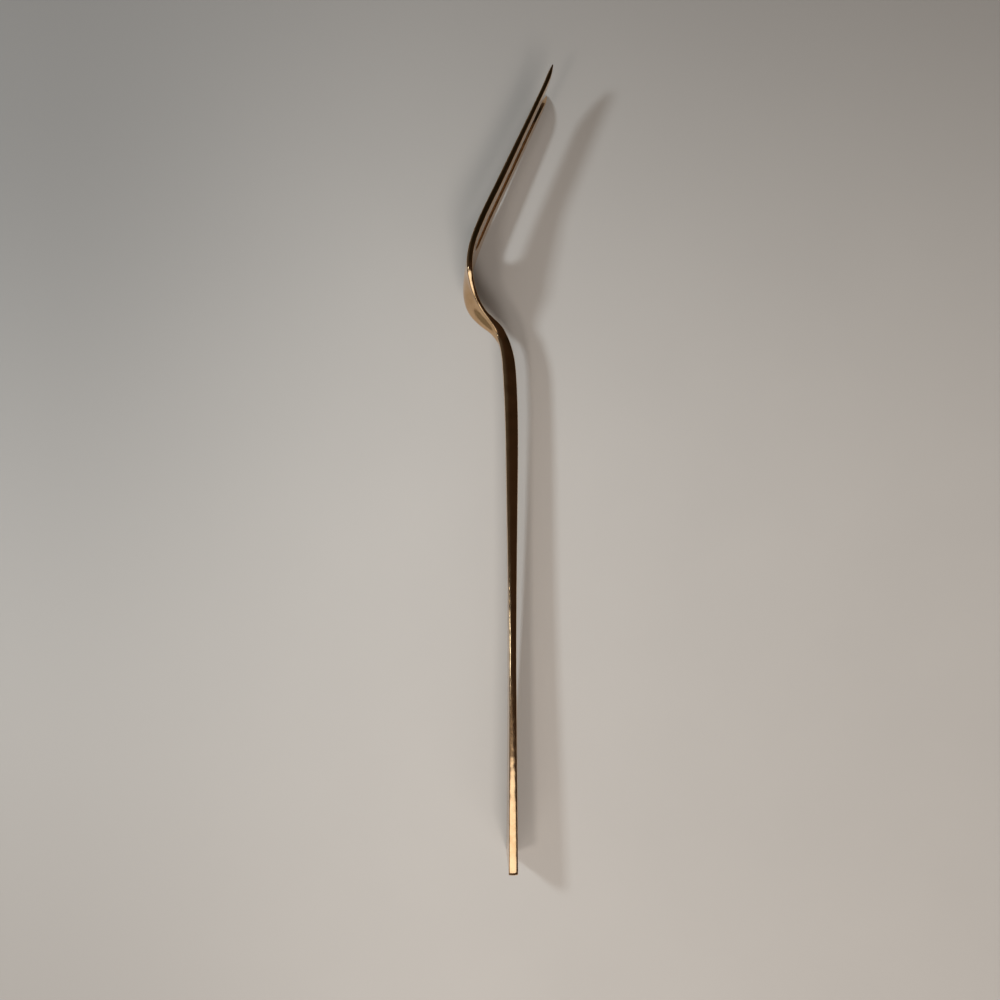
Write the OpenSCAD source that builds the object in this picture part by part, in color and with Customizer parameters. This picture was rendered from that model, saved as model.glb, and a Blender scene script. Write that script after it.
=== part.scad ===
// Two-tined serving fork, forged in one piece from flat bar.
// It lies on its long edge on a flat surface: +Y runs from the handle to the tines,
// +X is the side that the head is cupped towards, and +Z is up. The origin is under the
// middle of its box. All sizes are in millimetres and all headings in degrees.

/* [Side profile] */
// Straight stretch of the handle, from its end
handle_len = 112.5; // [90:0.5:150]
// Stretch over which the handle starts to lean back
neck_run = 28.3; // [20:0.1:40]
// Heading at the end of that stretch
neck_heading = -3.5; // [-8:0.1:0]
// Stretch over which the neck bends back
bend_run = 12.4; // [9:0.1:18]
// Heading at the end of the bend
bend_heading = -25.3; // [-32:0.1:-14]
// Short stretch that drops to the bowl
drop_run = 3.8; // [2.6:0.1:6]
// Steepest heading, at the foot of the drop
drop_heading = -46; // [-55:0.1:-34]
// Stretch that turns forward again under the bowl
turn_run = 9.8; // [7:0.1:14]
// Heading at the end of that stretch
turn_heading = -19; // [-28:0.1:-8]
// Stretch through the root of the tines
root_run = 15.4; // [11:0.1:20]
// Heading at the root of the tines
root_heading = 20.7; // [10:0.1:30]
// Stretch over which the tines straighten
rise_run = 13.7; // [10:0.1:20]
// Heading of the straight tines
tine_heading = 25.5; // [15:0.1:35]
// Straight stretch of the tines
tine_run = 27.8; // [18:0.1:45]
// Stretch over which the tips curl back
tip_run = 8.8; // [6:0.1:16]
// Heading at the tips
tip_heading = 18.3; // [8:0.1:25]

/* [Widths] */
// Width at the end of the handle
end_w = 14.6; // [10:0.1:20]
// Width where the straight handle stops
shaft_w = 5.4; // [4.6:0.1:8]
// Width of the neck, its narrowest part
neck_w = 4.2; // [3.6:0.1:5.2]
// Width at the foot of the drop
throat_w = 6.8; // [5.8:0.1:8.2]
// Width halfway along the flare of the head
flare_w = 10.4; // [8.8:0.1:12]
// Width at the shoulders of the head
shoulder_w = 15.7; // [13:0.1:17.5]
// Width of the head at its widest
head_w = 21.5; // [19:0.1:26]
// Width across both tines where the sides run straight
tines_w = 16.6; // [13:0.1:18.5]
// Width across the two tips
tips_w = 17.1; // [14:0.1:20]

/* [Thickness] */
// Thickness at the end of the handle
end_t = 2.6; // [1.8:0.1:4]
// Thickness of the handle at its thinnest
grip_t = 2.1; // [1.6:0.1:3.5]
// Thickness of the neck, the thickest part
neck_t = 3.7; // [2.4:0.1:5]
// Thickness at the foot of the drop
drop_t = 1.6; // [1.3:0.1:2.4]
// Thickness where the bowl starts, its thinnest part
bowl_t = 1.1; // [0.9:0.1:1.8]
// Thickness at the root of the tines
root_t = 1.6; // [1.2:0.1:2.4]
// Thickness near the tips
tip_t = 1.2; // [0.9:0.1:2]

/* [Bowl, slot and tips] */
// Depth of the small bowl between the neck and the slot
bowl_depth = 2.8; // [0.5:0.1:4]
// Depth of the bowl's shallow end, where the slot starts
root_depth = 0.6; // [0.1:0.1:1.2]
// Length of the slot between the tines
slot_len = 52.5; // [40:0.1:56]
// Width of the slot
slot_w = 6.1; // [4.4:0.1:8]
// Length over which the inside edge of a tine curves out to its tip
point_len = 13; // [8:0.1:18]
// Width left at the very tip
blunt_w = 0.5; // [0.4:0.1:1.5]
// Length over which a tine thins to its tip
thin_len = 3.5; // [2:0.1:8]
// Thickness left at the very tip
blunt_t = 0.3; // [0.2:0.05:0.8]

/* [Edges] */
// Radius of the corners along the long edges
edge_r = 0.35; // [0.2:0.05:0.8]
// How far the long edges are domed, as the slope where they meet their corners
edge_slope = 12; // [0:1:20]
// Radius of the edges inside the slot
lip_r = 0.35; // [0.1:0.05:0.5]
// Radius of the corners at the end of the handle
corner_r = 1.2; // [0.6:0.1:2.5]

/* [Hidden] */

bronze = [0.71, 0.51, 0.26];

// The neck keeps its width this far past the bend's start
neck_len = 10.5;
// The bar is thinnest this far past the drop
pinch_at = 3.7;
// The bowl starts this far before the bend's end. It is deepest this far past the drop, then
// shallow at the next length, and has faded out at the last
bowl_start = 3;
deepest_at = 6;
shallow_at = 17;
fade_at = 28;
// The head is widest this far past its shoulders and stays so for its crest. The tines run straight
// this far past the shoulders
widest_at = 6.7;
crest_len = 4.5;
waist_at = 33;

// Steps along the middle line, and rings along each stretch
path_step = 0.25;
handle_rings = 22;
neck_rings = 14;
bowl_rings = 26;
tine_rings = 18;
point_rings = 10;
// Points across half a face, and angles round the corners, the slot's lip and its end
face_points = 6;
corner_angles = [45, 90 - edge_slope];
lip_angles = [0, 60];
round_angles = [0, 22.5, 45, 67.5, 90];
slot_angles = [12, 24, 36, 50, 64, 77, 90];

// Where each stretch of the profile ends, along the middle line
neck_at = handle_len + neck_run;
bend_at = neck_at + bend_run;
drop_at = bend_at + drop_run;
turn_at = drop_at + turn_run;
root_at = turn_at + root_run;
rise_at = root_at + rise_run;
tine_at = rise_at + tine_run;
full_len = tine_at + tip_run;
slot_at = full_len - slot_len;
head_at = turn_at + widest_at;

headings = [
    [0, 0], [handle_len, 0], [neck_at, neck_heading], [bend_at, bend_heading],
    [drop_at, drop_heading], [turn_at, turn_heading], [root_at, root_heading],
    [rise_at, tine_heading], [tine_at, tine_heading], [full_len, tip_heading]
];
widths = [
    [0, end_w], [handle_len, shaft_w], [neck_at, neck_w], [neck_at + neck_len, neck_w],
    [drop_at, throat_w], [(drop_at + turn_at) / 2, flare_w], [turn_at, shoulder_w],
    [head_at, head_w], [head_at + crest_len, head_w], [turn_at + waist_at, tines_w],
    [tine_at, tines_w], [full_len, tips_w]
];
thicknesses = [
    [0, end_t], [handle_len / 2, grip_t], [neck_at, neck_t], [bend_at, (neck_t + drop_t) / 2],
    [drop_at, drop_t], [drop_at + pinch_at, bowl_t], [head_at, root_t], [rise_at, root_t],
    [tine_at, tip_t], [full_len, tip_t]
];
depths = [
    [bend_at - bowl_start, 0], [drop_at + deepest_at, bowl_depth],
    [drop_at + shallow_at, root_depth], [drop_at + fade_at, 0]
];

// A smooth curve through the knots of a table, which never runs past a knot's value
function chord(table, i) = (table[i + 1][1] - table[i][1]) / (table[i + 1][0] - table[i][0]);
function slope(table, i) =
    i == 0 ? chord(table, 0)
    : i == len(table) - 1 ? chord(table, i - 1)
    : let (before = chord(table, i - 1), after = chord(table, i))
      before * after <= 0 ? 0 : 2 * before * after / (before + after);
function last_knot(table, x, i = 0) =
    i < len(table) - 2 && x >= table[i + 1][0] ? last_knot(table, x, i + 1) : i;
function ease(table, x) =
    let (
        i = last_knot(table, x),
        run = table[i + 1][0] - table[i][0],
        t = min(max((x - table[i][0]) / run, 0), 1)
    )
    (2 * t ^ 3 - 3 * t ^ 2 + 1) * table[i][1] + (t ^ 3 - 2 * t ^ 2 + t) * run * slope(table, i)
    + (3 * t ^ 2 - 2 * t ^ 3) * table[i + 1][1] + (t ^ 3 - t ^ 2) * run * slope(table, i + 1);

// The middle line, walked in small steps along its heading: [along the handle, towards the front]
steps = ceil(full_len / path_step);
step = full_len / steps;
path = [
    for (k = 0, p = [0, 0]; k <= steps;
         p = p + step * [cos(ease(headings, (k + 0.5) * step)), sin(ease(headings, (k + 0.5) * step))],
         k = k + 1)
        p
];
function path_point(s) =
    let (k = min(floor(s / step), steps - 1))
    path[k] + (path[k + 1] - path[k]) * (s / step - k);

// How much a rounded end takes off a half size, at a distance from the end
function rounding(s, r) = s >= r ? 0 : r - sqrt(r ^ 2 - (r - s) ^ 2);

// Easing from a blunt end to the full size, along a parabola
function swell(left, run, blunt, full) =
    left >= run ? full : blunt + (full - blunt) * (1 - (1 - left / run) ^ 2);

function half_width(s) = ease(widths, s) / 2 - rounding(s, corner_r);
function thickness(s) =
    swell(full_len - s, thin_len, blunt_t, ease(thicknesses, s)) - 2 * rounding(s, edge_r);
function depth(s) = s > depths[0][0] && s < depths[3][0] ? ease(depths, s) : 0;

// Half of the gap between the tines: a round end, a straight slot, then the curve to the tips
slot_r = slot_w / 2;
round_at = slot_at + slot_r;
function half_gap(s) =
    let (w = half_width(s))
    s <= slot_at ? 0
    : s < round_at ? sqrt(slot_r ^ 2 - (round_at - s) ^ 2)
    : w - swell(full_len - s, point_len, blunt_w, w - slot_r);

// How far a place on the face lies from the edge of the slot
function from_slot(s, across) =
    s < round_at ? norm([round_at - s, across]) - slot_r : across - half_gap(s);

// One side of the section at s, from the middle of the front face round the edge to the middle
// of the back face: [towards the front, across]
function half_section(s) =
    let (
        w = half_width(s),
        g = half_gap(s),
        t = thickness(s) / 2,
        c = min(edge_r, t * 0.6, (w - g) * 0.4),
        lip = min(lip_r, t * 0.6, (w - g) * 0.4),
        dome_r = edge_slope > 0 ? (t - c + c * sin(edge_slope)) / sin(edge_slope) : 0,
        corner = w - dome_r * (1 - cos(edge_slope)) - c * cos(edge_slope),
        face = concat(
            [for (a = lip_angles) g + lip * (1 - cos(a))],
            [for (j = [0:face_points]) g + lip + (corner - g - lip) * j / face_points]
        ),
        across = concat(face, [for (a = corner_angles) corner + c * sin(a)]),
        out = concat(
            [for (z = face) t - rounding(max(from_slot(s, z), 0), lip)],
            [for (a = corner_angles) t - c + c * cos(a)]
        ),
        last = len(across) - 1
    )
    concat(
        [for (j = [0:last]) [out[j] - sag(s, across[j] / w), across[j]]],
        [[-sag(s, 1), w]],
        [for (j = [last:-1:0]) [-out[j] - sag(s, across[j] / w), across[j]]]
    );

// How far the bowl sets the section back, at a share of its half width
function sag(s, share) = depth(s) * (1 - share ^ 2) ^ 2;

// A section's points in space, side 1 for the upper half and -1 for the lower:
// [along the handle, towards the front, across]
function in_space(s, half, side) =
    let (p = path_point(s), h = ease(headings, s))
    [for (q = half) [p[0] - q[0] * sin(h), p[1] + q[0] * cos(h), side * q[1]]];

function between(from, to, count) = [for (k = [1:count]) from + (to - from) * k / count];

body_stations = concat(
    [for (a = round_angles) corner_r * (1 - cos(a))],
    between(corner_r, handle_len, handle_rings),
    between(handle_len, bend_at - bowl_start, neck_rings),
    between(bend_at - bowl_start, slot_at - lip_r, bowl_rings),
    [slot_at - lip_r / 2, slot_at]
);
points_at = full_len - point_len;
tine_stations = concat(
    [for (a = slot_angles) slot_at + slot_r * (1 - cos(a))],
    between(round_at, points_at, tine_rings),
    [for (k = [1:point_rings]) full_len - point_len * (1 - k / point_rings) ^ 1.5]
);

half_count = 2 * (len(lip_angles) + face_points + 1 + len(corner_angles)) + 1;
ring_count = 2 * half_count - 2;
body_count = len(body_stations) * ring_count;
tine_count = len(tine_stations) * half_count;

body_points = [
    for (s = body_stations)
        let (half = half_section(s))
        each concat(
            in_space(s, half, 1),
            in_space(s, [for (j = [half_count - 2:-1:1]) half[j]], -1)
        )
];
function tine_points(side) =
    [for (s = tine_stations) each in_space(s, half_section(s), side)];

// The fork settles on three points: the end of the handle, the widest part of the head and the
// tip of the lower tine. The plane through them is the surface.
function near(from, to) =
    [for (i = [0:len(body_stations) - 1])
        if (body_stations[i] >= from && body_stations[i] <= to)
            each [for (j = [0:ring_count - 1]) body_points[i * ring_count + j]]];
function lowest(points, up) =
    let (heights = [for (p = points) p * up], low = min(heights))
    [for (i = [0:len(points) - 1]) if (heights[i] == low) points[i]][0];
function unit(v) = v / norm(v);
handle_foot = near(0, corner_r);
lower_tine = tine_points(-1);
head_foot = concat(near(turn_at, full_len), [for (j = [0:half_count * tine_rings - 1]) lower_tine[j]]);
tip_foot = [for (j = [tine_count - half_count * point_rings:tine_count - 1]) lower_tine[j]];
function settle(up, rounds) =
    rounds == 0 ? up
    : let (
        a = lowest(handle_foot, up),
        b = lowest(head_foot, up),
        c = lowest(tip_foot, up)
      )
      settle(unit(cross(b - a, c - a)), rounds - 1);
up = settle([0, 0, 1], 4);
ahead = unit([1, 0, 0] - up[0] * up);
front = cross(ahead, up) * -1;

all_points = concat(body_points, tine_points(1), lower_tine);
laid = [for (p = all_points) [p * front, p * ahead, p * up]];
low = [for (k = [0:2]) min([for (p = laid) p[k]])];
high = [for (k = [0:2]) max([for (p = laid) p[k]])];
origin = [(low[0] + high[0]) / 2, (low[1] + high[1]) / 2, low[2]];
placed = [for (p = laid) p - origin];

// Rings of point numbers, and the skin between two rings of equal count
function body_ring(i) = [for (j = [0:ring_count - 1]) i * ring_count + j];
function tine_ring(i, side) =
    i < 0
    ? [for (j = [0:half_count - 1])
        (len(body_stations) - 1) * ring_count + (side > 0 ? j : (ring_count - j) % ring_count)]
    : [for (j = [0:half_count - 1]) body_count + (side > 0 ? 0 : tine_count) + i * half_count + j];
function reversed(list) = [for (j = [len(list) - 1:-1:0]) list[j]];
function skin(a, b, side) =
    let (n = len(a))
    [for (j = [0:n - 1])
        let (k = (j + 1) % n)
        each side > 0
        ? [[a[j], a[k], b[k]], [a[j], b[k], b[j]]]
        : [[a[k], a[j], b[k]], [b[k], a[j], b[j]]]];

module fork() {
    last = len(tine_stations) - 1;
    color(bronze)
        polyhedron(
            points = placed,
            faces = concat(
                [reversed(body_ring(0))],
                [for (i = [0:len(body_stations) - 2]) each skin(body_ring(i), body_ring(i + 1), 1)],
                [for (side = [-1, 1]) for (i = [-1:last - 1])
                    each skin(tine_ring(i, side), tine_ring(i + 1, side), side)],
                [for (side = [-1, 1]) side > 0 ? tine_ring(last, 1) : reversed(tine_ring(last, -1))]
            ),
            convexity = 6
        );
}

fork();
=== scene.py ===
# %% [markdown]
# # A two-tined serving fork in polished bronze
# The real fork is one piece of metal. A flat bar was forged thin, cranked at the neck, beaten into
# a small bowl and slit into two tines, and then polished by hand. So there is one piece to make
# here, and nearly all of its looks come from two things: the exact run of its surfaces, and what
# those surfaces mirror.
#
# The imported model holds the size and the place. It comes in first. The finer mesh that is made
# below is meant to stay inside its box, and takes its place in the render, where the imported one
# is hidden.

# %% Load the frame
import math

import bpy
import numpy as np
from mathutils import Matrix, Vector


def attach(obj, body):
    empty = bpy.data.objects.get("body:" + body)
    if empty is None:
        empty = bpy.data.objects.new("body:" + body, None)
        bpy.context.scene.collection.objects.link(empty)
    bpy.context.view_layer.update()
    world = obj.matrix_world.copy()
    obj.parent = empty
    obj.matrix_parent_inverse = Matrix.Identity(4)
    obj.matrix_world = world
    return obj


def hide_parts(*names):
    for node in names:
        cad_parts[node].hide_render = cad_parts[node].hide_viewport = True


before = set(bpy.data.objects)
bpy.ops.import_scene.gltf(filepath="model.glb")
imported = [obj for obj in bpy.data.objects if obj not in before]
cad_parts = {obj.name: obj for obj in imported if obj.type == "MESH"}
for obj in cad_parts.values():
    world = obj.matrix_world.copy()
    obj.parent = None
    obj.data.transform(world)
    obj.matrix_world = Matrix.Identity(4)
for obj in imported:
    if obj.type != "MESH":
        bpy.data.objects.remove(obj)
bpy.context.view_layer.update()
MM = 0.001

# %% [markdown]
# ## The camera
# The photograph was taken from nearly straight above, about a hand's width higher than the fork
# is long. A camera that stands close sees the two tines side by side, although one lies under the
# other, so its place matters more than its lens. It is aimed with three directions: where it
# looks, what is up in the picture, and what is left over, which points right.

# %% Camera
CAMERA_PLACE = Vector((0.0160, -0.0051, 0.2232))
CAMERA_LOOKS = Vector((-0.0854, -0.0080, -0.9963))
PICTURE_UP = Vector((-0.0003, 1.0, -0.0080))
LENS_MM = 27
SENSOR_MM = 36


def aim(place, looks, up):
    """The matrix of an object at a place, whose -Z looks along a direction."""
    back = -looks.normalized()
    right = up.cross(back).normalized()
    turn = Matrix((right, back.cross(right), back)).transposed()
    return Matrix.Translation(place) @ turn.to_4x4()


lens = bpy.data.cameras.new("camera")
lens.lens = LENS_MM
lens.sensor_width = SENSOR_MM
lens.clip_start = 0.005
camera = bpy.data.objects.new("camera", lens)
camera.matrix_world = aim(CAMERA_PLACE, CAMERA_LOOKS, PICTURE_UP)
bpy.context.scene.collection.objects.link(camera)
bpy.context.scene.camera = camera
print("camera height, in mm:", round(CAMERA_PLACE.z / MM))

# %% [markdown]
# ## The fork as a list of measures
# A smith would describe the fork by how its profile bends, how wide it is, and how thick it is at
# a few places along its length. The same three lists describe it here. They could be drawn as
# curves, but a table of places and values is easier to read and to change. All of these sizes are
# in millimetres along the middle line, and the headings are in degrees.

# %% Measures along the middle line
HANDLE, NECK, BEND, DROP, TURN = 112.5, 140.8, 153.2, 157.0, 166.8
ROOT, RISE, TINES_END, LENGTH = 182.2, 195.9, 223.7, 232.5
HEAD, CREST = 173.5, 4.5
SLOT_START, SLOT_WIDTH = 180.0, 6.1

headings = [
    (0, 0), (HANDLE, 0), (NECK, -3.5), (BEND, -25.3), (DROP, -46), (TURN, -19),
    (ROOT, 20.7), (RISE, 25.5), (TINES_END, 25.5), (LENGTH, 18.3),
]
widths = [
    (0, 14.6), (HANDLE, 5.4), (NECK, 4.2), (NECK + 10.5, 4.2), (DROP, 6.8),
    ((DROP + TURN) / 2, 10.4), (TURN, 15.7), (HEAD, 21.5), (HEAD + CREST, 21.5),
    (TURN + 33, 16.6), (TINES_END, 16.6), (LENGTH, 17.1),
]
thicknesses = [
    (0, 2.6), (HANDLE / 2, 2.1), (NECK, 3.7), (BEND, 2.65), (DROP, 1.6), (DROP + 3.7, 1.1),
    (HEAD, 1.6), (RISE, 1.6), (TINES_END, 1.2), (LENGTH, 1.2),
]
bowl_depths = [(BEND - 3, 0), (DROP + 6, 2.8), (DROP + 17, 0.6), (DROP + 28, 0)]


def eased(table, place):
    """A smooth curve through a table's points, which never runs past a point's value."""
    at, value = (np.array(column, float) for column in zip(*table))
    chord = np.diff(value) / np.diff(at)
    slope = np.concatenate([chord[:1], np.zeros(len(at) - 2), chord[-1:]])
    for k in range(1, len(at) - 1):
        if chord[k - 1] * chord[k] > 0:
            slope[k] = 2 * chord[k - 1] * chord[k] / (chord[k - 1] + chord[k])
    k = int(np.clip(np.searchsorted(at, place, side="right") - 1, 0, len(at) - 2))
    run = at[k + 1] - at[k]
    t = min(max((place - at[k]) / run, 0), 1)
    return (
        (2 * t**3 - 3 * t**2 + 1) * value[k]
        + (t**3 - 2 * t**2 + t) * run * slope[k]
        + (3 * t**2 - 2 * t**3) * value[k + 1]
        + (t**3 - t**2) * run * slope[k + 1]
    )


print("width of the neck and of the head:", eased(widths, NECK), eased(widths, HEAD))

# %% [markdown]
# ## The middle line
# The side profile has no straight grid to build on: each stretch turns a little further than the
# last. Walking along it in small steps, and turning as the headings say, gives the whole profile
# from one list, and its length stays right whatever the bends are.

# %% Walk along the middle line
WALK_STEP = 0.25
walk_count = math.ceil(LENGTH / WALK_STEP)
walk_step = LENGTH / walk_count
walked = np.zeros((walk_count + 1, 2))
for k in range(walk_count):
    heading = math.radians(eased(headings, (k + 0.5) * walk_step))
    walked[k + 1] = walked[k] + walk_step * np.array([math.cos(heading), math.sin(heading)])


def middle(place):
    """A point of the middle line: along the handle, and towards the front."""
    k = min(int(place / walk_step), walk_count - 1)
    return walked[k] + (walked[k + 1] - walked[k]) * (place / walk_step - k)


print("tips, along and towards the front:", walked[-1].round(1))

# %% [markdown]
# ## The outline and the slot
# Seen from the front, the handle's end has small rounded corners, the slot has a round end, and
# the inside edge of each tine curves out to meet the outside edge at a point. That curve is a
# parabola, which starts flat along the slot and so leaves no kink. The bar's thickness runs out
# at the tips in the same way.

# %% Outline, slot and thickness
CORNER_R = 1.2
EDGE_R = 0.25
POINT_LEN, BLUNT_WIDTH = 13.0, 0.5
THIN_LEN, BLUNT_THICKNESS = 3.5, 0.3
slot_r = SLOT_WIDTH / 2
slot_round_end = SLOT_START + slot_r


def rounding(distance, radius):
    """How much a rounded end takes off a half size, at a distance from the end."""
    inside = max(radius - distance, 0)
    return radius - math.sqrt(radius**2 - inside**2)


def swell(left, run, blunt, full):
    """From a blunt end to the full size, along a parabola."""
    share = max(1 - left / run, 0)
    return blunt + (full - blunt) * (1 - share**2)


def half_width(place):
    return eased(widths, place) / 2 - rounding(place, CORNER_R)


def thickness(place):
    full = swell(LENGTH - place, THIN_LEN, BLUNT_THICKNESS, eased(thicknesses, place))
    return full - 2 * rounding(place, EDGE_R)


def half_gap(place):
    """Half of the gap between the tines."""
    if place <= SLOT_START:
        return 0
    if place < slot_round_end:
        return math.sqrt(slot_r**2 - (slot_round_end - place) ** 2)
    wide = half_width(place)
    return wide - swell(LENGTH - place, POINT_LEN, BLUNT_WIDTH, wide - slot_r)


def from_slot(place, across):
    """How far a point of the face lies from the edge of the slot."""
    if place < slot_round_end:
        return math.hypot(slot_round_end - place, across) - slot_r
    return across - half_gap(place)


def sag(place, share):
    """How far the bowl sets the bar back, at a share of its half width."""
    if not bowl_depths[0][0] < place < bowl_depths[-1][0]:
        return 0
    return eased(bowl_depths, place) * (1 - share**2) ** 2


print("slot opens from", SLOT_START, "to", LENGTH, "and is", 2 * half_gap(RISE), "wide")

# %% [markdown]
# ## One section
# Cut across, the bar is nearly a rectangle. What makes it look like metal is how it departs from
# one: the long edges were filed slightly domed, so a reflection slides across them and fades out
# before it reaches the corner, and the corners themselves are tight radii that catch a thin bright
# line. A bevel modifier would give every edge the same radius and no dome. So the section is
# drawn point by point, with close points round each radius.

# %% Section
LIP_R = 0.2
DOME_SLOPE = math.radians(12)
lip_turns = np.radians(np.linspace(0, 90, 4))
corner_turns = np.linspace(0, math.pi / 2 - DOME_SLOPE, 9)[1:]
dome_turns = np.linspace(DOME_SLOPE, 0, 6)[1:-1]
face_shares = np.linspace(0, 1, 15)[1:]


def half_section(place):
    """From the middle of the front face, round the edge, to the middle of the back face."""
    wide, gap, half = half_width(place), half_gap(place), thickness(place) / 2
    bar = wide - gap
    corner_r = min(EDGE_R, half * 0.6, bar * 0.4)
    lip = min(LIP_R, half * 0.6, bar * 0.4)
    dome_r = (half - corner_r) / math.sin(DOME_SLOPE) + corner_r
    corner = wide - dome_r * (1 - math.cos(DOME_SLOPE)) - corner_r * math.cos(DOME_SLOPE)
    face = [gap + lip * (1 - math.cos(a)) for a in lip_turns]
    face += [gap + lip + (corner - gap - lip) * share for share in face_shares]
    rim = [(half - rounding(max(from_slot(place, x), 0), lip), x) for x in face]
    rim += [
        (half - corner_r * (1 - math.cos(a)), corner + corner_r * math.sin(a)) for a in corner_turns
    ]
    rim += [(dome_r * math.sin(a), wide - dome_r * (1 - math.cos(a))) for a in dome_turns]
    both = rim + [(0, wide)] + [(-out, x) for out, x in reversed(rim)]
    return np.array([(out - sag(place, min(x / wide, 1)), x) for out, x in both])


HALF_COUNT = len(half_section(0))
RING_COUNT = 2 * HALF_COUNT - 2
print("points round a full section:", RING_COUNT)

# %% [markdown]
# ## Where the sections stand
# Sections half a millimetre apart are enough along the handle. They crowd together where the
# shape turns quickly: round the corners of the handle's end, at the lip and the round end of the
# slot, and towards the tips.

# %% Places of the sections
SPACING = 0.5
end_turns = np.radians(np.linspace(0, 90, 13))


def spread(start, end, spacing):
    """Places between two ends, at an even spacing, without the first."""
    return list(np.linspace(start, end, round((end - start) / spacing) + 1)[1:])


body_places = [CORNER_R * (1 - math.cos(a)) for a in end_turns]
body_places += spread(CORNER_R, SLOT_START - LIP_R, SPACING)
body_places += [SLOT_START - LIP_R * (1 - math.cos(a)) for a in lip_turns[-2::-1]]

points_start = LENGTH - POINT_LEN
tine_places = [SLOT_START + slot_r * (1 - math.cos(a)) for a in end_turns[1:]]
tine_places += spread(slot_round_end, points_start, SPACING)
tine_places += [LENGTH - POINT_LEN * (1 - share) ** 1.5 for share in np.linspace(0, 1, 46)[1:]]
print("sections:", len(body_places), "in one piece and", len(tine_places), "in each tine")

# %% [markdown]
# ## The skin
# Neighbouring sections are joined ring to ring. The handle and head have closed rings. Behind the
# slot's round end each ring splits in two halves, one for each tine, and each half closes across
# the slot's wall. Both tines start from the same last ring, so the metal is unbroken there.

# %% Points and faces


def in_space(place, half, side):
    """Points of a half section: along the handle, towards the front, and across."""
    along, front = middle(place)
    heading = math.radians(eased(headings, place))
    return np.column_stack([
        along - half[:, 0] * math.sin(heading),
        front + half[:, 0] * math.cos(heading),
        side * half[:, 1],
    ])


def full_ring(place):
    half = half_section(place)
    return np.vstack([in_space(place, half, 1), in_space(place, half[-2:0:-1], -1)])


body_points = np.vstack([full_ring(place) for place in body_places])
tine_points = {
    side: np.vstack([in_space(place, half_section(place), side) for place in tine_places])
    for side in (1, -1)
}
tine_start = {1: len(body_points), -1: len(body_points) + len(tine_points[1])}


def body_ring(i):
    return np.arange(RING_COUNT) + i * RING_COUNT


def body_half(i, side):
    """One side's half of a full ring, from the middle of the front to the middle of the back."""
    return i * RING_COUNT + np.arange(HALF_COUNT) * side % RING_COUNT


def tine_ring(i, side):
    """The points of a tine's section. Section -1 is its half of the last full ring."""
    if i < 0:
        return body_half(len(body_places) - 1, side)
    return tine_start[side] + i * HALF_COUNT + np.arange(HALF_COUNT)


def skin(near, far, side):
    """Quads between two rings, which face outwards on either side of the fork."""
    ahead, beside = np.roll(near, -1), np.roll(far, -1)
    quads = np.column_stack([near, far, beside, ahead])
    return quads if side > 0 else quads[:, ::-1]


def end_cap(half, turned):
    """Narrow faces across an end, from its front to its back. They meet in one triangle."""
    front, back = (line[: HALF_COUNT // 2 + 1].tolist() for line in (half, half[::-1]))
    strip = [list(face) for face in zip(front, front[1:], back[1:], back)]
    strip[-1].pop(2)
    return [face[::-1] for face in strip] if turned else strip


quads = [skin(body_ring(i), body_ring(i + 1), 1) for i in range(len(body_places) - 1)]
for side in (1, -1):
    rings = [tine_ring(i, side) for i in range(-1, len(tine_places))]
    quads += [skin(near, far, side) for near, far in zip(rings, rings[1:])]
quads = np.vstack(quads)
caps = end_cap(body_half(0, 1), False) + end_cap(body_half(0, -1), True)
for side in (1, -1):
    caps += end_cap(tine_ring(len(tine_places) - 1, side), side > 0)
points = np.vstack([body_points, tine_points[1], tine_points[-1]])
print("points:", len(points), "faces:", len(quads) + len(caps))

# %% [markdown]
# ## Laying it down
# A fork on its long edge touches a flat surface at three points: the end of its wide handle, the
# widest part of its head, and the tip of its lower tine. The plane through those three is the
# surface. Which points are lowest depends on the plane, so it is found in a few rounds.

# %% Settle on three points


def along_between(low, high):
    """The points that lie between two places along the handle."""
    return points[(points[:, 0] >= low) & (points[:, 0] <= high)]


feet = [
    along_between(0, CORNER_R),
    along_between(middle(TURN)[0], middle(RISE)[0]),
    tine_points[-1][-HALF_COUNT * 30 :],
]
up = np.array([0.0, 0.0, 1.0])
for _ in range(4):
    first, second, third = (foot[(foot @ up).argmin()] for foot in feet)
    up = np.cross(second - first, third - first)
    up /= np.linalg.norm(up)
ahead = np.array([1.0, 0.0, 0.0]) - up[0] * up
ahead /= np.linalg.norm(ahead)
front = np.cross(up, ahead)

laid = np.column_stack([points @ front, points @ ahead, points @ up])
middle_of_box = (laid.min(0) + laid.max(0)) / 2
laid -= [middle_of_box[0], middle_of_box[1], laid[:, 2].min()]
laid *= MM
print("leans by", round(math.degrees(math.acos(up[2])), 2), "degrees")

# %% The piece


def mesh_piece(name, places, faces):
    mesh = bpy.data.meshes.new(name)
    mesh.from_pydata(places.tolist(), [], faces)
    mesh.shade_smooth()
    mesh.update()
    made = bpy.data.objects.new(name, mesh)
    bpy.context.scene.collection.objects.link(made)
    return made


fork = mesh_piece("polished_fork", laid, quads.tolist() + caps)
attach(fork, "root")
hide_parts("fork")

# %% [markdown]
# ## Writing materials as sums
# A material is a small calculation: a noise here, a mask there, one minus something. Drawn as
# boxes and wires it is hard to follow, so a small class stands for one socket. Arithmetic on it
# adds the Math nodes, and one method adds any other node.

# %% A socket that can be added and multiplied


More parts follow.
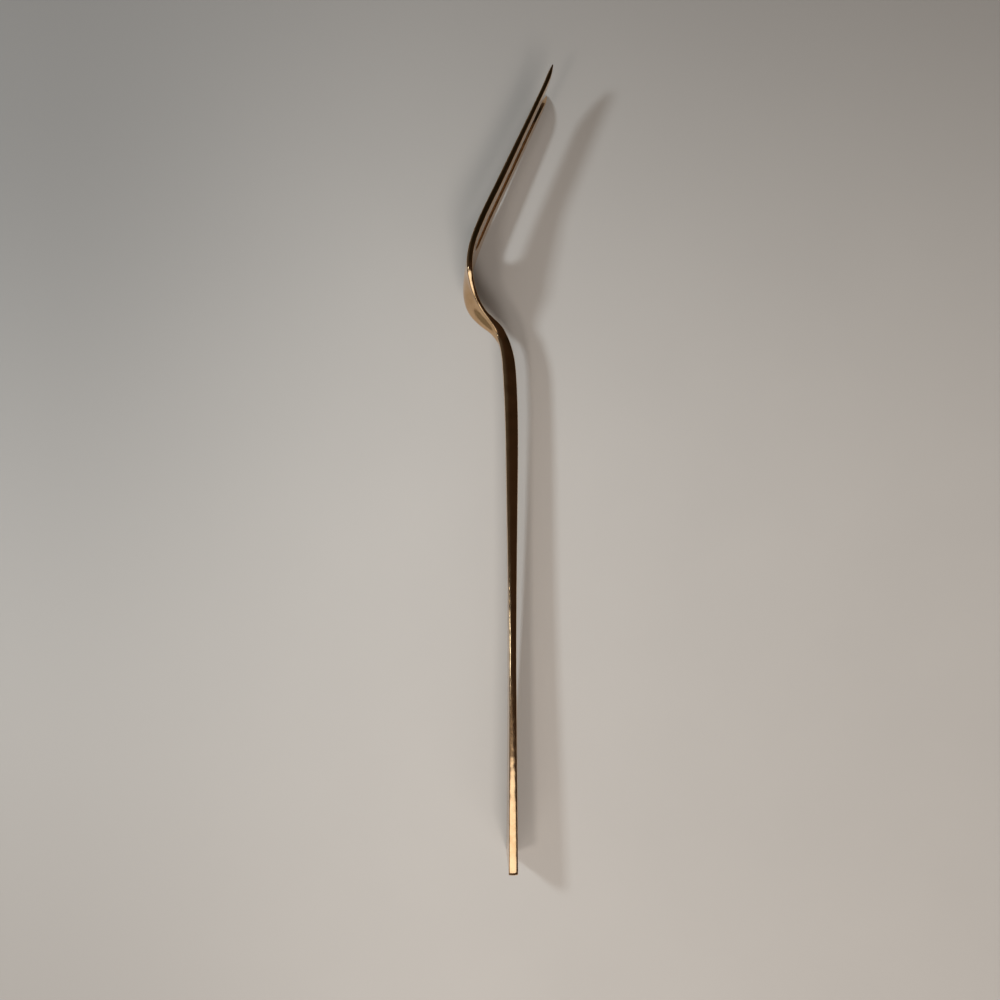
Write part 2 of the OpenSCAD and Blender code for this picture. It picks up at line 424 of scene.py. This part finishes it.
class Socket:
    """The output of a node. Plain arithmetic on it adds Math nodes to the same tree."""

    def __init__(self, tree, output=None):
        self.tree = tree
        self.output = output

    def add(self, kind, settings=None, inputs=None, output=0):
        """Adds a node: its settings first, then the values or links of its sockets."""
        node = self.tree.nodes.new(kind)
        for name, value in (settings or {}).items():
            if name == "stops":
                set_stops(node.color_ramp, value)
            else:
                setattr(node, name, value)
        for name, value in (inputs or {}).items():
            if isinstance(value, Socket):
                self.tree.links.new(value.output, node.inputs[name])
            else:
                node.inputs[name].default_value = value
        return Socket(self.tree, node.outputs[output] if len(node.outputs) else None)

    def maths(self, operation, first, second):
        return self.add("ShaderNodeMath", {"operation": operation}, {0: first, 1: second})

    def __add__(self, other):
        return self.maths("ADD", self, other)

    def __sub__(self, other):
        return self.maths("SUBTRACT", self, other)

    def __rsub__(self, other):
        return self.maths("SUBTRACT", other, self)

    def __mul__(self, other):
        return self.maths("MULTIPLY", self, other)

    __radd__ = __add__
    __rmul__ = __mul__


def set_stops(ramp, stops):
    """Gives a colour ramp its stops, as (position, grey value)."""
    while len(ramp.elements) < len(stops):
        ramp.elements.new(0.5)
    for element, (position, value) in zip(ramp.elements, stops):
        element.position = position
        element.color = (value, value, value, 1)


def blended(mask, low, high):
    """A colour between two, by a mask from 0 to 1."""
    return mask.add("ShaderNodeMix", {"data_type": "RGBA"}, {0: mask, 6: low, 7: high}, output=2)


def risen(value, low, high):
    """A mask that rises smoothly from 0 to 1 between two values."""
    return value.add("ShaderNodeMapRange", {"interpolation_type": "SMOOTHSTEP"}, {
        "Value": value, "From Min": low, "From Max": high,
    })


def fresh_material(name):
    """A material with an empty tree, and a socket to start its nodes from."""
    material = bpy.data.materials.new(name)
    material.use_nodes = True
    material.node_tree.nodes.clear()
    return material, Socket(material.node_tree)


# %% [markdown]
# ## The polished bronze
# Metal has no colour of its own to paint: it tints what it mirrors. Bronze takes most of the blue
# out of a reflection and about half of the green. What tells real metal from a plastic mirror is
# that its polish is uneven. The hand leaves soft swells a few millimetres long, which make the
# border of every reflection wander, and use leaves fine hair lines, duller smudges and a slightly
# browner tone here and there.

# %% Bronze
BRONZE = (0.72, 0.485, 0.28, 1)
BROWNED = (0.60, 0.38, 0.20, 1)
bronze, start = fresh_material("polished_bronze")
place = start.add("ShaderNodeTexCoord", output="Object")


def noise(scale, detail, stretch=(1, 1, 1)):
    """Noise between 0 and 1 on the object, with its size given in turns a metre."""
    at = start.add("ShaderNodeMapping", inputs={"Vector": place, "Scale": stretch})
    return start.add("ShaderNodeTexNoise", inputs={"Vector": at, "Scale": scale, "Detail": detail})


swells = noise(200, 1.5)
smudges = noise(260, 4)
pits = noise(1500, 2)
hairs = noise(2600, 3, stretch=(1, 0.04, 1))
browning = smudges.add("ShaderNodeValToRGB", {"stops": [(0.45, 0), (0.75, 1)]}, {0: smudges})
relief = swells * 0.00013 + pits * browning * 0.00001 + hairs * 0.000002
normal = start.add(
    "ShaderNodeBump", inputs={"Height": relief, "Strength": 1.0, "Distance": 1.0}
)
roughness = 0.08 + smudges * 0.1
shader = start.add(
    "ShaderNodeBsdfPrincipled",
    inputs={
        "Base Color": blended(browning, BRONZE, BROWNED),
        "Metallic": 1.0,
        "Roughness": roughness,
        "Normal": normal,
    },
)
start.add("ShaderNodeOutputMaterial", inputs={"Surface": shader})
fork.data.materials.append(bronze)

# %% [markdown]
# ## The pale floor
# The floor has two tasks: to catch the shadow, and to be seen in the back of the fork. It is plain
# and matt, with a faint unevenness so that it doesn't look like nothing. The lamps alone leave it
# too bright on the left and far side, so shade is painted into its colour there: it gets darker
# towards the far side and the left, and darkest in the far left corner.

# %% Floor
FLOOR_SIZE = 6.0
FLOOR_TONE = (0.50, 0.465, 0.43, 1)
FLOOR_SHADE = (0.47, 0.437, 0.405, 1)
# Painted shade: darker floor colours for the far side, the left and the far left corner.
FLOOR_FAR_PAINTED_SHADE = (0.27, 0.25, 0.232, 1)
FLOOR_LEFT_PAINTED_SHADE = (0.395, 0.367, 0.34, 1)
FLOOR_CORNER_PAINTED_SHADE = (0.225, 0.209, 0.194, 1)
half = FLOOR_SIZE / 2
floor = mesh_piece(
    "floor",
    np.array([(-half, -half, 0), (half, -half, 0), (half, half, 0), (-half, half, 0)]),
    [(0, 1, 2, 3)],
)
pale, start = fresh_material("pale_floor")
place = start.add("ShaderNodeTexCoord", output="Object")
aside, ahead = (
    start.add("ShaderNodeSeparateXYZ", inputs={"Vector": place}, output=axis) for axis in "XY"
)
tone = blended(noise(25, 4), FLOOR_TONE, FLOOR_SHADE)
# Painted shade: the floor colour darkens towards the far side and towards the left, most in the far
# left corner.
tone = blended(risen(ahead, -0.03, 0.22), tone, FLOOR_FAR_PAINTED_SHADE)
left_painted_shade = blended(risen(ahead, -0.1, 0.12), FLOOR_LEFT_PAINTED_SHADE, FLOOR_CORNER_PAINTED_SHADE)
tone = blended(risen(aside, -0.15, 0.0), left_painted_shade, tone)
shader = start.add("ShaderNodeBsdfPrincipled", inputs={"Base Color": tone, "Roughness": 0.9})
start.add("ShaderNodeOutputMaterial", inputs={"Surface": shader})
floor.data.materials.append(pale)

# %% [markdown]
# ## The light
# A polished thing is lit by what it mirrors, so the room matters as much as the lamps. The room is
# dark and brownish overhead, which is why the fork's upper edge looks dark brown between its
# highlights. It is a little lighter on the left, and the low walls, for the other sides, are
# lighter on the left than on the right.

# %% Room
LEFT_WALL = (0.23, 0.215, 0.175, 1)
RIGHT_WALL = (0.05, 0.035, 0.025, 1)
LEFT_SIDE = (0.075, 0.07, 0.062, 1)
CEILING = (0.036, 0.022, 0.014, 1)
FAR_END = (0.012, 0.010, 0.006, 1)
world = bpy.data.worlds.new("room")
bpy.context.scene.world = world
world.use_nodes = True
world.node_tree.nodes.clear()
start = Socket(world.node_tree)
direction = start.add("ShaderNodeTexCoord", output="Generated")
sideways, forward, height = (
    start.add("ShaderNodeSeparateXYZ", inputs={"Vector": direction}, output=axis) for axis in "XYZ"
)


overhead = blended(risen(forward, 0.05, 0.4), CEILING, FAR_END)
overhead = blended(risen(sideways, -0.2, 0.02), LEFT_SIDE, overhead)
walls = blended(risen(sideways, -0.3, 0.2), LEFT_WALL, RIGHT_WALL)
room = start.add("ShaderNodeBackground", inputs={
    "Color": blended(risen(height, 0.1, 0.35), walls, overhead), "Strength": 1.0
})
start.add("ShaderNodeOutputWorld", inputs={"Surface": room})

# %% [markdown]
# ## Lamps and cards
# A photographer lights metal with two kinds of things. Lamps light the floor and throw the
# shadows. Cards are only there to be mirrored, and each one is placed by the angle at which the
# metal looks back at it. Blender can part the two: a lamp is hidden from mirrors, and a card from
# matt surfaces.

# %% Lamps


def lamp(name, place, size, power, colour):
    """An area lamp that faces the middle of the fork. Its size is across and along."""
    light = bpy.data.lights.new(name, "AREA")
    light.shape = "RECTANGLE"
    light.size, light.size_y = size
    light.energy = power
    light.color = colour
    made = bpy.data.objects.new(name, light)
    made.matrix_world = aim(Vector(place), -Vector(place), Vector((0, 1, 0)))
    bpy.context.scene.collection.objects.link(made)
    return made


def floor_lamp(name, place, size, power, colour):
    """A lamp that lights the floor and that no mirror shows."""
    lamp(name, place, size, power, colour).visible_glossy = False


floor_lamp("main_lamp", (-0.255, 0.0935, 0.278), (0.05, 0.05), 0.78, (0.80, 0.92, 1.0))
floor_lamp("far_lamp", (0.29, -1.07, 1.2), (0.5, 0.4), 12.2, (1.0, 0.96, 0.92))
floor_lamp("left_lamp", (-0.117, -0.189, 0.392), (0.06, 0.06), 0.38, (1.0, 0.95, 0.90))
floor_lamp("window", (0.15, -1.0, 0.55), (1.8, 0.8), 9.3, (1.0, 0.95, 0.90))

# %% Cards


def card(name, place, size, glow, colour):
    """A round card that faces the fork and glows evenly. Only mirrors show it."""
    made = lamp(name, place, size, glow * math.pi**2 * size[0] * size[1] / 4, colour)
    made.data.shape = "ELLIPSE"
    made.visible_diffuse = False


card("stripe_card", (0.028, -0.251, 0.364), (0.30, 0.146), 1.5, (1.0, 0.99, 0.95))
card("stripe_core", (0.030, -0.240, 0.36), (0.27, 0.03), 0.25, (0.8, 0.95, 1.0))
card("stripe_haze", (-0.020, -0.178, 0.364), (0.17, 0.10), 0.13, (1.0, 0.85, 0.75))
card("slit_card", (-0.070, -0.098, 0.364), (0.03, 0.05), 7.0, (0.78, 0.90, 1.0))

# %% [markdown]
# ## Closing
# The view settings stay plain, so that a colour is shown as it is written.

# %% View settings
bpy.context.scene.view_settings.view_transform = "Standard"
